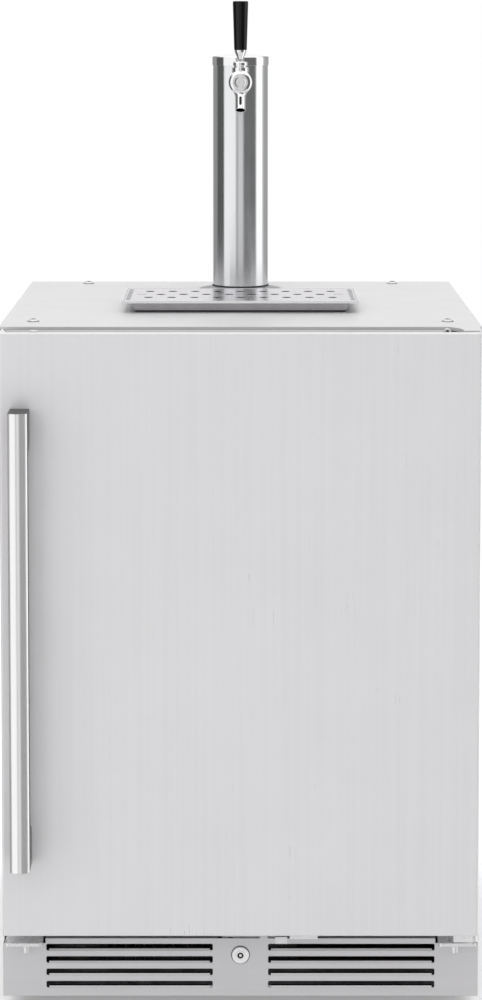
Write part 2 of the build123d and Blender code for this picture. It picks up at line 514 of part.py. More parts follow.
# Bar handle on two bevelled standoffs.
HANDLE_X = -268.2
HANDLE_LONG = 563.0
HANDLE_MID = (DOOR_TOP + DOOR_BOTTOM) / 2
HANDLE_WIDE = 23.6
BAR_DEEP = 23.0
STANDOFF = 48.0
BEVEL = 8.0
h0 = HANDLE_MID - HANDLE_LONG / 2
h1 = HANDLE_MID + HANDLE_LONG / 2
bar_back = HANDLE_FRONT + BAR_DEEP
FRONT_SAG = 4.9            # how far the front face bulges over its edges
bar_edge = HANDLE_FRONT + FRONT_SAG
half_wide = HANDLE_WIDE / 2
bar_outline = make_face([
    ThreePointArc((-half_wide, bar_edge), (0, HANDLE_FRONT), (half_wide, bar_edge)),
    Line((half_wide, bar_edge), (half_wide, DOOR_FACE)),
    Line((half_wide, DOOR_FACE), (-half_wide, DOOR_FACE)),
    Line((-half_wide, DOOR_FACE), (-half_wide, bar_edge)),
])
handle = Pos(HANDLE_X, 0, h0) * extrude(bar_outline, HANDLE_LONG)
gap_outline = make_face(Plane.YZ * Polyline(
    (DOOR_FACE + 1, h1 - STANDOFF + BEVEL), (DOOR_FACE, h1 - STANDOFF + BEVEL), (DOOR_FACE - BEVEL, h1 - STANDOFF),
    (bar_back, h1 - STANDOFF), (bar_back, h0 + STANDOFF), (DOOR_FACE - BEVEL, h0 + STANDOFF),
    (DOOR_FACE, h0 + STANDOFF - BEVEL), (DOOR_FACE + 1, h0 + STANDOFF - BEVEL), close=True))
handle -= Pos(HANDLE_X - HANDLE_WIDE, 0, 0) * extrude(gap_outline, 2 * HANDLE_WIDE, dir=(1, 0, 0))
nodes["door_handle"] = handle

# Hinge arm under the door's right corner, and the strike that the lock bolt enters.
ARM_LOW = 101.5
arm = block(263, 294.3, DOOR_FACE + 3, DOOR_FACE + 38, ARM_LOW, DOOR_BOTTOM)
arm = fillet(arm.edges().filter_by(Axis.Z).filter_by(lambda e: e.center().X > 290), 8)
arm -= rod_z(HINGE_X, HINGE_Y, ARM_LOW - 1, DOOR_BOTTOM + 1, PIN_R + RUN)
nodes["door_hinge_arm"] = arm
skin_hole = rod_z(HINGE_X, HINGE_Y, DOOR_BOTTOM - 1, DOOR_BOTTOM + 3, PIN_R + RUN)
nodes["door_skin"] = nodes["door_skin"] - skin_hole

STRIKE_X0 = 61.0
STRIKE_X1 = 95.5
STRIKE_LOW = 103.6
strike = block(STRIKE_X0, STRIKE_X1, DOOR_FACE + 8, DOOR_FACE + 31, DOOR_BOTTOM - 2.5, DOOR_BOTTOM)
strike += block(STRIKE_X0, STRIKE_X1, DOOR_FACE + 8, DOOR_FACE + 10.5, STRIKE_LOW, DOOR_BOTTOM)
strike += block(STRIKE_X0, STRIKE_X1, DOOR_FACE + 28.5, DOOR_FACE + 31, 98, DOOR_BOTTOM)
nodes["lock_strike"] = strike

# ==== draft tower =============================================================================
FLANGE_R = 56.0
FLANGE_TOP = HEIGHT + 5.0
RING_TOP = FLANGE_TOP + 1.8
TUBE_TOP = 1181.0
TUBE_WALL = 1.5
tower_inner = TOWER_R - TUBE_WALL
flange_outline = Plane.XZ * make_face([
    Line((TOWER_HOLE_R, HEIGHT), (FLANGE_R, HEIGHT)),
    Line((FLANGE_R, HEIGHT), (FLANGE_R, HEIGHT + 1.2)),
    ThreePointArc((FLANGE_R, HEIGHT + 1.2), (48, HEIGHT + 2.6), (TOWER_R + 1.4, FLANGE_TOP)),
    Line((TOWER_R + 1.4, FLANGE_TOP), (TOWER_HOLE_R, FLANGE_TOP)),
    Line((TOWER_HOLE_R, FLANGE_TOP), (TOWER_HOLE_R, HEIGHT)),
])
nodes["tower_flange"] = Pos(0, TOWER_Y, 0) * revolve(flange_outline, Axis.Z)
nodes["tower_gasket"] = turned([(tower_inner, FLANGE_TOP), (TOWER_R + 1.0, FLANGE_TOP), (TOWER_R + 1.0, RING_TOP),
                                (tower_inner, RING_TOP)], 0, TOWER_Y)
TAP_Z = 1150.5             # height of the faucet's axis
SHANK_R = 11.0
tower_face = TOWER_Y - TOWER_R
tube = rod_z(0, TOWER_Y, RING_TOP, TUBE_TOP, TOWER_R)
tube -= rod_z(0, TOWER_Y, RING_TOP - 1, TUBE_TOP + 1, tower_inner)
tube -= rod_y(0, tower_face - 5, TOWER_Y, TAP_Z, SHANK_R + CLEAR)
nodes["tower_tube"] = tube
CAP_R = 39.1
cap_outline = Plane.XZ * make_face([
    Line((0, TUBE_TOP), (TOWER_R + 0.1, TUBE_TOP)),
    Line((TOWER_R + 0.1, TUBE_TOP), (TOWER_R + 0.1, 1171.5)),
    Line((TOWER_R + 0.1, 1171.5), (CAP_R, 1171.5)),
    Line((CAP_R, 1171.5), (CAP_R, 1182.3)),
    ThreePointArc((CAP_R, 1182.3), (CAP_R - 0.7, 1183.6), (CAP_R - 2.2, 1184.2)),
    ThreePointArc((CAP_R - 2.2, 1184.2), (20, 1186.6), (3, 1187.4)),
    Line((3, 1187.4), (0, 1187.4)),
    Line((0, 1187.4), (0, TUBE_TOP)),
])
nodes["tower_cap"] = Pos(0, TOWER_Y, 0) * revolve(cap_outline, Axis.Z)

# Shank through the tower wall, ending in a downward elbow for the beer line.
SHANK_FRONT = tower_face - 12.0
SHANK_BACK = TOWER_Y + 12.0
SHANK_BORE_R = 4.0
ELBOW_LOW = 1122.0
shank = rod_y(0, SHANK_FRONT, SHANK_BACK, TAP_Z, SHANK_R - 1.0)
shank += rod_y(0, tower_face + 5.5, tower_face + 10.5, TAP_Z, 15)
shank += rod_z(0, SHANK_BACK - 8, ELBOW_LOW + 8, TAP_Z, 6)
shank += rod_z(0, SHANK_BACK - 8, ELBOW_LOW, ELBOW_LOW + 9, 4.5)
shank -= rod_y(0, SHANK_FRONT - 1, SHANK_BACK - 4, TAP_Z, SHANK_BORE_R)
shank -= rod_z(0, SHANK_BACK - 8, ELBOW_LOW - 1, TAP_Z, 2.5)
nodes["faucet_shank"] = shank
nodes["shank_collar"] = turned_y([(SHANK_R - 0.9, SHANK_FRONT + 1), (13.0, SHANK_FRONT + 1), (14.0, SHANK_FRONT + 3),
                                  (15.2, tower_face + 1.2), (SHANK_R - 0.9, tower_face + 1.2)], 0, TAP_Z)
collar_trim = rod_z(0, TOWER_Y, 1100, 1200, TOWER_R + 0.05)
nodes["shank_collar"] = nodes["shank_collar"] - collar_trim

# Faucet: a round body with a domed front, a spout leaning forward and a bonnet round the lever.
TAP_Y = 138.0
BODY_R = 16.0
BODY_FRONT = TAP_Y - 17.0
SPOUT_LEAN = 27.0
SPOUT_R = 7.0
SPOUT_BORE_R = 6.2
SPOUT_BORE_LONG = 24.0
SPOUT_LONG = 42.0
BONNET_LOW = 1163.5
BONNET_R = 11.4
BONNET_TOP = 1178.0
LEVER_Z = 1173.0
body_outline = make_face([
    Line((0, SHANK_FRONT), (14.5, SHANK_FRONT)),
    Line((14.5, SHANK_FRONT), (14.5, SHANK_FRONT - 12)),
    Line((14.5, SHANK_FRONT - 12), (12.5, SHANK_FRONT - 14)),
    Line((12.5, SHANK_FRONT - 14), (BODY_R, TAP_Y + 8)),
    Line((BODY_R, TAP_Y + 8), (BODY_R, BODY_FRONT + 4)),
    ThreePointArc((BODY_R, BODY_FRONT + 4), (BODY_R - 2.5, BODY_FRONT + 1), (6.5, BODY_FRONT)),
    Line((6.5, BODY_FRONT), (0, BODY_FRONT)),
    Line((0, BODY_FRONT), (0, SHANK_FRONT)),
])
faucet = Pos(0, 0, TAP_Z) * revolve(body_outline, Axis.Y)
spout_place = Pos(0, TAP_Y, TAP_Z) * Rot(-SPOUT_LEAN, 0, 0)
taper = Pos(0, 0, -12.5) * Cone(SPOUT_R, 13.5, 17)
spout = Pos(0, 0, -SPOUT_LONG / 2) * Cylinder(SPOUT_R, SPOUT_LONG)
faucet += spout_place * (taper + spout)
faucet += rod_z(0, TAP_Y, TAP_Z, BONNET_LOW, 10.5)
CHAMBER_R = 8.0
faucet -= rod_y(0, TAP_Y - 9, SHANK_FRONT - 2, TAP_Z, CHAMBER_R)
faucet -= rod_y(0, SHANK_FRONT - 3, SHANK_FRONT + 1, TAP_Z, SHANK_BORE_R)
faucet -= rod_z(0, TAP_Y, TAP_Z, BONNET_LOW + 1, 6.4)
faucet -= rod_z(0, TAP_Y, BONNET_LOW, BONNET_LOW + 10, BONNET_R + 0.1)
spout_bore = Pos(0, 0, -SPOUT_LONG + SPOUT_BORE_LONG / 2) * Cylinder(SPOUT_BORE_R, SPOUT_BORE_LONG)
spout_feed = Pos(0, 0, -SPOUT_LONG / 2) * Cylinder(SHANK_BORE_R, SPOUT_LONG - 8)
faucet -= spout_place * (spout_bore + spout_feed)
faucet -= block(-3.2, 3.2, TAP_Y, TAP_Y + 9.4, TAP_Z, BONNET_LOW + 0.1)
face_ring = rod_y(0, BODY_FRONT - 1, BODY_FRONT + 1.6, TAP_Z, 5.6)
face_ring -= rod_y(0, BODY_FRONT - 2, BODY_FRONT + 2, TAP_Z, 4.8)
faucet -= face_ring
faucet -= hexagon_y(0, BODY_FRONT - 1, BODY_FRONT + 2.0, TAP_Z, 3.2)
nodes["faucet_body"] = faucet
BONNET_BORE_R = 6.4
nodes["faucet_bonnet"] = turned([(BONNET_BORE_R, BONNET_LOW), (BONNET_R, BONNET_LOW), (BONNET_R, BONNET_LOW + 6.8),
                                 (9.0, BONNET_LOW + 7.6), (9.0, BONNET_LOW + 8.6), (10.1, BONNET_LOW + 9.6),
                                 (10.1, BONNET_TOP - 1.2), (9.0, BONNET_TOP), (7.6, BONNET_TOP),
                                 (BONNET_BORE_R, BONNET_TOP - 1.4)], 0, TAP_Y)
LEVER_BALL_R = 6.3
lever = Pos(0, TAP_Y, LEVER_Z) * Sphere(LEVER_BALL_R)
lever += rod_x(-LEVER_BALL_R, LEVER_BALL_R, TAP_Y, LEVER_Z, 1.0)
lever += rod_z(0, TAP_Y, TAP_Z, LEVER_Z, 2.5)
lever += Pos(0, TAP_Y, TAP_Z) * Sphere(3.6)
FERRULE_TOP = 1194.0
lever += turned([(0, LEVER_Z), (2.6, LEVER_Z), (2.6, LEVER_Z + 6.5), (7.9, FERRULE_TOP - 3), (7.9, FERRULE_TOP),
                 (0, FERRULE_TOP)], 0, TAP_Y)
nodes["tap_lever"] = lever
HANDLE_TOP = 1260.0
nodes["tap_handle"] = turned([(0, FERRULE_TOP), (8.3, FERRULE_TOP), (8.7, FERRULE_TOP + 1.2), (8.8, FERRULE_TOP + 6),
                              (10.5, HANDLE_TOP - 2.2), (10.3, HANDLE_TOP - 0.8), (9.6, HANDLE_TOP - 0.2),
                              (8.8, HANDLE_TOP), (0, HANDLE_TOP)], 0, TAP_Y)
shaft = rod_y(0, TAP_Y - 6.5, TAP_Y + 6.5, TAP_Z, 6.5)
shaft -= block(-4.0, 4.0, TAP_Y - 4.3, TAP_Y + 4.3, TAP_Z - 10, TAP_Z + 10)
shaft += rod_y(0, TAP_Y + 5.5, TAP_Y + 17, TAP_Z, 2.5)
shaft += rod_y(0, TAP_Y + 14, TAP_Y + 17, TAP_Z, 6.5)
nodes["faucet_shaft"] = shaft

# ---- drip tray -------------------------------------------------------------------------------
TRAY_Y0 = CASING_FRONT + 148.0
TRAY_Y1 = TRAY_Y0 + 154.0
TRAY_HALF = 152.0
TRAY_LOW = HEIGHT + CLEAR
TRAY_HIGH = HEIGHT + 16.0
TRAY_MID = (TRAY_Y0 + TRAY_Y1) / 2
TRAY_SHEET = 1.3
tray_half_deep = (TRAY_Y1 - TRAY_Y0) / 2


def tray_form(low, high, low_half, high_half, low_deep, high_deep):
    """A straight-walled basin form, wider at the top."""
    bottom = Pos(0, TRAY_MID, low) * Rectangle(2 * low_half, 2 * low_deep)
    top = Pos(0, TRAY_MID, high) * Rectangle(2 * high_half, 2 * high_deep)
    return loft([bottom, top])


LEDGE_TOP = TRAY_HIGH - 2.0
LIP = 1.3
tray = tray_form(TRAY_LOW, TRAY_HIGH, 135, 142, tray_half_deep - 9, tray_half_deep - 6)
tray += block(-TRAY_HALF, TRAY_HALF, TRAY_Y0, TRAY_Y1, LEDGE_TOP - TRAY_SHEET, TRAY_HIGH)
tray -= block(-TRAY_HALF + LIP, TRAY_HALF - LIP, TRAY_Y0 + LIP, TRAY_Y1 - LIP, LEDGE_TOP, TRAY_HIGH + 1)
tray -= tray_form(TRAY_LOW + TRAY_SHEET, TRAY_HIGH + 0.1, 133.7, 140.7, tray_half_deep - 10.3, tray_half_deep - 7.3)
nodes["drip_tray"] = tray
GRID_HALF = TRAY_HALF - LIP - 0.5
GRID_SHEET = 1.5
HOLE_R = 4.4
HOLE_PITCH = 29.9
HOLE_ROWS = 37.0
grid_deep = tray_half_deep - LIP - 0.5
GRID_TOP = LEDGE_TOP + CLEAR + GRID_SHEET
grid = block(-GRID_HALF, GRID_HALF, TRAY_MID - grid_deep, TRAY_MID + grid_deep, GRID_TOP - GRID_SHEET, GRID_TOP)
grid = fillet(grid.edges().filter_by(Axis.Z), 2.5)
for row, holes in ((-1, 9), (0, 8), (1, 9)):
    for k in range(holes):
        hole_x = (k - (holes - 1) / 2) * HOLE_PITCH
        hole_y = TRAY_MID + 4 + row * HOLE_ROWS
        grid -= rod_z(hole_x, hole_y, GRID_TOP - 2 * GRID_SHEET, GRID_TOP + 1, HOLE_R)
        grid -= Pos(hole_x, hole_y, GRID_TOP - 0.5) * Cone(HOLE_R, HOLE_R + 1.6, 1.0)
for side in (-1, 1):
    grid -= Pos(side * 129, TRAY_MID + 4, GRID_TOP) * Box(12, 3.0, 3 * GRID_SHEET)
    for k in range(25):
        grid -= Pos(side * 145, TRAY_MID + (k - 12) * 5.4, GRID_TOP) * Box(5.5, 2.4, 1.6)
nodes["drip_grid"] = grid

# ==== gas and beer ============================================================================
CO2_X = 178.5
CO2_Y = 199.5
CO2_R = 66.5
CO2_NECK = 520.0
bottle_outline = Plane.XZ * make_face([
    Line((0, PLATE_TOP), (CO2_R - 8, PLATE_TOP)),
    Line((CO2_R - 8, PLATE_TOP), (CO2_R, PLATE_TOP + 8)),
    Line((CO2_R, PLATE_TOP + 8), (CO2_R, 455)),
    ThreePointArc((CO2_R, 455), (50, 491), (16, 508)),
    Line((16, 508), (16, CO2_NECK)),
    Line((16, CO2_NECK), (0, CO2_NECK)),
    Line((0, CO2_NECK), (0, PLATE_TOP)),
])
nodes["co2_cylinder"] = Pos(CO2_X, CO2_Y, 0) * revolve(bottle_outline, Axis.Z)
OUTLET_Z = 577.0
REG_X = 126.0
valve = rod_z(CO2_X, CO2_Y, CO2_NECK, 592, 12.5) + rod_x(REG_X + 36, CO2_X, CO2_Y, OUTLET_Z, 8.5)
valve += rod_z(CO2_X, CO2_Y, 592, 601, 8)
valve -= rod_z(CO2_X, CO2_Y, 588, 602, 4 + RUN)
nodes["cylinder_valve"] = valve
wheel = rod_z(CO2_X, CO2_Y, 589, 612, 4) + rod_z(CO2_X, CO2_Y, 602, 614, 9)
wheel += rod_z(CO2_X, CO2_Y, 603, 613, 24) - rod_z(CO2_X, CO2_Y, 602, 614, 17)
for angle in (0, 60, 120):
    wheel += Pos(CO2_X, CO2_Y, 608) * Rot(0, 0, angle) * Box(38, 5, 6)
nodes["valve_handwheel"] = wheel
REG_Y = 199.5
REG_R = 19.0
BARB_X = REG_X - 8
reg = rod_y(REG_X, 182, 217, OUTLET_Z, REG_R)
reg += turned_y([(0, 183), (REG_R - 1, 183), (REG_R - 4, 160), (10, 152), (0, 152)], REG_X, OUTLET_Z)
inlet_hex = extrude(RegularPolygon(13, 6, major_radius=False), 22)
inlet_nut = Pos(REG_X + 18, REG_Y, OUTLET_Z) * Rot(0, 90, 0) * inlet_hex
reg += inlet_nut
reg += rod_x(REG_X + 14, REG_X + 19, REG_Y, OUTLET_Z, 7)
reg -= rod_x(REG_X + 35.9, REG_X + 41, REG_Y, OUTLET_Z, 8.6)
reg += rod_z(BARB_X, REG_Y, OUTLET_Z - 42, OUTLET_Z - 10, 6.5)
reg += rod_z(BARB_X, REG_Y, OUTLET_Z - 56, OUTLET_Z - 41, 4.5)
reg += rod_z(REG_X, REG_Y - 6, OUTLET_Z + 16, OUTLET_Z + 44, 4.5)
reg += rod_x(REG_X - 22, REG_X - 16, REG_Y - 6, OUTLET_Z, 4.5)
reg -= rod_y(REG_X, 140, 170, OUTLET_Z, 4 + RUN)
nodes["regulator_body"] = reg
gauges = []
for gauge_x, gauge_z in ((REG_X, OUTLET_Z + 60), (REG_X - 39, OUTLET_Z)):
    gauge = rod_y(gauge_x, 180, 206, gauge_z, 18)
    gauge -= rod_y(gauge_x, 179, 182, gauge_z, 16)
    gauges.append(gauge)
gauges[0] -= rod_z(REG_X, REG_Y - 6, OUTLET_Z + 30, OUTLET_Z + 44, 4.5)
gauges[1] -= rod_x(REG_X - 22, REG_X - 16, REG_Y - 6, OUTLET_Z, 4.5)
nodes["pressure_gauges"] = Compound(children=[Part() + g for g in gauges])
knob = rod_y(REG_X, 129, 149, OUTLET_Z, 12) + rod_y(REG_X, 148, 168, OUTLET_Z, 4)
for k in range(8):
    angle = math.radians(45 * k)
    knob -= rod_y(REG_X + 13.5 * math.cos(angle), 128, 150, OUTLET_Z + 13.5 * math.sin(angle), 3.5)
nodes["regulator_knob"] = knob

# Keg coupler, stored hanging from the beer line behind the keg's space.
COUPLER_Y = TOWER_Y
COUPLER_LOW = 590.0
COUPLER_NUT_TOP = 700.0
LEVER_PIN_Z = 655.0
coupler = turned([(10.2, COUPLER_LOW), (27, COUPLER_LOW), (27, COUPLER_LOW + 5), (22, COUPLER_LOW + 7),
                  (22, COUPLER_LOW + 12), (17, COUPLER_LOW + 14), (17, 672), (13, 676), (13, COUPLER_NUT_TOP - 8),
                  (10.2, COUPLER_NUT_TOP - 8)], 0, COUPLER_Y)
coupler += turned([(0, COUPLER_NUT_TOP - 12), (12.5, COUPLER_NUT_TOP - 12), (12.5, COUPLER_NUT_TOP - 3),
                   (5.0, COUPLER_NUT_TOP), (0, COUPLER_NUT_TOP)], 0, COUPLER_Y)
coupler += rod_x(-44, -15, COUPLER_Y, 640, 6)
coupler += rod_z(-42, COUPLER_Y, 612, 643, 4.5)
coupler += rod_y(0, COUPLER_Y - 24, COUPLER_Y - 15, LEVER_PIN_Z, 4)
coupler += rod_y(0, COUPLER_Y + 15, COUPLER_Y + 24, LEVER_PIN_Z, 4)
nodes["coupler_body"] = coupler
PROBE_REST_LOW = 584.0
probe = rod_z(0, COUPLER_Y, PROBE_REST_LOW, 668, 10.0)
probe -= rod_z(0, COUPLER_Y, PROBE_REST_LOW - 1, 669, 4.0)
nodes["coupler_probe"] = probe
LEVER_EYE_R = 9.0
grip = []
for side in (-1, 1):
    y0, y1 = sorted((COUPLER_Y + side * 18.5, COUPLER_Y + side * 22.5))
    cheek = block(0, 42, y0, y1, LEVER_PIN_Z - 6, LEVER_PIN_Z + 6) + rod_y(0, y0, y1, LEVER_PIN_Z, LEVER_EYE_R)
    cheek -= rod_y(0, y0 - 1, y1 + 1, LEVER_PIN_Z, 4 + RUN)
    grip.append(cheek)
grip.append(block(38, 44, COUPLER_Y - 22.5, COUPLER_Y + 22.5, LEVER_PIN_Z - 6, LEVER_PIN_Z + 6))
grip.append(block(43, 112, COUPLER_Y - 8, COUPLER_Y + 8, LEVER_PIN_Z - 6, LEVER_PIN_Z + 6))
nodes["coupler_handle"] = joined(grip)

# Beer line from the shank elbow down the tower to the coupler, gas line in a hanging loop.
LINE_R = 5.5
elbow_y = SHANK_BACK - 8
beer_points = [(0, elbow_y, ELBOW_LOW), (0, elbow_y, 1060), (1.5, elbow_y - 1, 990), (1.0, elbow_y - 2.5, 920),
               (0, COUPLER_Y + 1.0, 845), (0, COUPLER_Y, 770), (0, COUPLER_Y, COUPLER_NUT_TOP)]
nodes["beer_line"] = tube_along(beer_points, LINE_R)
barb_z = OUTLET_Z - 56
gas_points = [(BARB_X, REG_Y, barb_z), (BARB_X, REG_Y, 500), (100, 203, 462), (72, 209, 424), (35, 215, 402),
              (0, 220, 405), (-27, 223, 432), (-41, COUPLER_Y, 475), (-42, COUPLER_Y, 520), (-42, COUPLER_Y, 612)]
nodes["gas_line"] = tube_along(gas_points, LINE_R)

# ---- feet and screws -------------------------------------------------------------------------


def foot(side, foot_y):
    pad = turned([(0, 0), (18, 0), (19, 1), (19, 6), (16, 9), (9, 10), (9, 14), (0, 14)], side * FOOT_X, foot_y)
    return pad + rod_z(side * FOOT_X, foot_y, 10, 52, FOOT_STUD_R)


nodes["foot_front_left"] = foot(-1, FRONT_FOOT_Y)
nodes["foot_front_right"] = foot(1, FRONT_FOOT_Y)
nodes["rear_feet"] = Compound(children=[Part() + foot(side, REAR_FOOT_Y) for side in (-1, 1)])

SCREW_HEAD_R = 6.0


def screw_z(x, y, base):
    head = turned([(0, base), (SCREW_HEAD_R, base), (SCREW_HEAD_R, base + 1.2), (4.2, base + 2.6),
                   (0, base + 3.0)], x, y)
    return head - block(x - 2.6, x + 2.6, y - 0.6, y + 0.6, base + 1.6, base + 4) \
        - block(x - 0.6, x + 0.6, y - 2.6, y + 2.6, base + 1.6, base + 4)


def screw_back(x, z):
    base = FOAM_BACK + SHEET
    return turned_y([(0, base), (4.5, base), (4.5, base + 1.0), (3.0, base + 2.2), (0, base + 2.2)], x, z)


screws = [screw_z(side * 259.4, CASING_FRONT + 59, HEIGHT) for side in (-1, 1)]
screws += [screw_z(side * 215.5, BACK - 25, HEIGHT) for side in (-1, 1)]
screws += [screw_back(x, z) for x in (-285, 0, 285) for z in (200, 840)]
screws += [screw_back(x, z) for x in (-285, 130, 285) for z in (36, 180)]
nodes["casing_screws"] = Compound(children=[Part() + s for s in screws])

os.makedirs("parts", exist_ok=True)
for name, shape in nodes.items():
    export_step(shape, f"parts/{name}.step")
print(len(nodes), "nodes")
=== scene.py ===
import json
import math

import bmesh
import bpy
from mathutils import Matrix, Vector


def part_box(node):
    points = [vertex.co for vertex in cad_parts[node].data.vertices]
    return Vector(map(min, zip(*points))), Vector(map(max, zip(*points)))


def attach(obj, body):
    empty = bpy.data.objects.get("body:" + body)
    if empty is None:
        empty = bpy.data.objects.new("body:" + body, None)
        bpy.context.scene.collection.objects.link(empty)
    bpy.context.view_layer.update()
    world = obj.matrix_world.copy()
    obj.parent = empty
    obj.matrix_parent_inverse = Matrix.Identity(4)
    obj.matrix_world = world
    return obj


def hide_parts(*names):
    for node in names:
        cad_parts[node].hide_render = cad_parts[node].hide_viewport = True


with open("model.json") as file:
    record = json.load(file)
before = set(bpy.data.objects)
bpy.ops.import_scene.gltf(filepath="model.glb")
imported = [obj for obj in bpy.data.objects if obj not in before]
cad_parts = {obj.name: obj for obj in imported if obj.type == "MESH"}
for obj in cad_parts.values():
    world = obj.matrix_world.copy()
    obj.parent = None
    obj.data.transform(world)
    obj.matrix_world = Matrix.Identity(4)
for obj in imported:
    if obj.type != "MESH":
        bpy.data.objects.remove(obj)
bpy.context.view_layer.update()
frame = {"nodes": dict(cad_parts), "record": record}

record = frame["record"]
nodes = frame["nodes"]
scene = bpy.context.scene
scene.view_settings.view_transform = "Standard"

# ---- camera ---------------------------------------------------------------------------------
camera = bpy.data.objects.new("camera", bpy.data.cameras.new("camera"))
scene.collection.objects.link(camera)
CAMERA_TILT_DOWN = 4.38
camera.location = (0.0007, -3.5775, 1.2585)
camera.rotation_euler = (math.radians(90 - CAMERA_TILT_DOWN), 0, 0)
camera.data.lens = 98.64
camera.data.shift_y = -0.288
camera.data.clip_start = 0.1
camera.data.clip_end = 60
scene.camera = camera

# ---- shader helpers -------------------------------------------------------------------------


class Shader:
    """A material's or world's node tree with short calls for the nodes used here."""

    def __init__(self, owner):
        owner.use_nodes = True
        self.tree = owner.node_tree
        self.tree.nodes.clear()

    def add(self, kind, **settings):
        node = self.tree.nodes.new(kind)
        for key, value in settings.items():
            setattr(node, key, value)
        return node

    def link(self, source, target):
        self.tree.links.new(source, target)

    def put(self, value, socket):
        if isinstance(value, bpy.types.NodeSocket):
            self.link(value, socket)
        else:
            socket.default_value = value

    def math(self, operation, a, b=0.0, c=0.0):
        node = self.add("ShaderNodeMath", operation=operation)
        for value, socket in zip((a, b, c), node.inputs):
            self.put(value, socket)
        return node.outputs[0]

    def span(self, value, from_low, from_high, to_low, to_high, smooth=False):
        node = self.add("ShaderNodeMapRange", clamp=True)
        node.interpolation_type = "SMOOTHSTEP" if smooth else "LINEAR"
        for item, socket in zip((value, from_low, from_high, to_low, to_high), node.inputs):
            self.put(item, socket)
        return node.outputs[0]

    def mix(self, factor, a, b):
        node = self.add("ShaderNodeMix", data_type="RGBA")
        self.put(factor, node.inputs[0])
        self.put(a, node.inputs[6])
        self.put(b, node.inputs[7])
        return node.outputs[2]

    def noise(self, vector, scale, detail=3.0, rough=0.5):
        node = self.add("ShaderNodeTexNoise")
        self.link(vector, node.inputs["Vector"])
        node.inputs["Scale"].default_value = scale
        node.inputs["Detail"].default_value = detail
        node.inputs["Roughness"].default_value = rough
        return node.outputs["Fac"]

    def stretched(self, vector, scale):
        node = self.add("ShaderNodeMapping")
        self.link(vector, node.inputs["Vector"])
        node.inputs["Scale"].default_value = scale
        return node.outputs[0]

    def place(self):
        return self.add("ShaderNodeTexCoord").outputs["Object"]

    def bump(self, height, strength, distance, normal=None):
        node = self.add("ShaderNodeBump")
        node.inputs["Strength"].default_value = strength
        node.inputs["Distance"].default_value = distance
        self.link(height, node.inputs["Height"])
        if normal is not None:
            self.link(normal, node.inputs["Normal"])
        return node.outputs[0]


# Noise scales of a brushed grain, across it and along it, and of its wide bands relative to these.
GRAIN_ACROSS = 1500.0
GRAIN_ALONG = 5.0
BAND_ACROSS = 0.16
BAND_ALONG = 0.4
DUST_COLOUR = (0.45, 0.43, 0.40, 1.0)
EDGE_RADIUS = 0.0006
# The colours of a painted highlight on metal and of painted shade inside recesses.
PAINTED_HIGHLIGHT_METAL = (0.93, 0.92, 0.93, 1.0)
PAINTED_SHADE_BLACK = (0.004, 0.004, 0.004, 1.0)


def tone(colour, factor):
    return tuple(min(1.0, c * factor) for c in colour[:3]) + (1.0,)


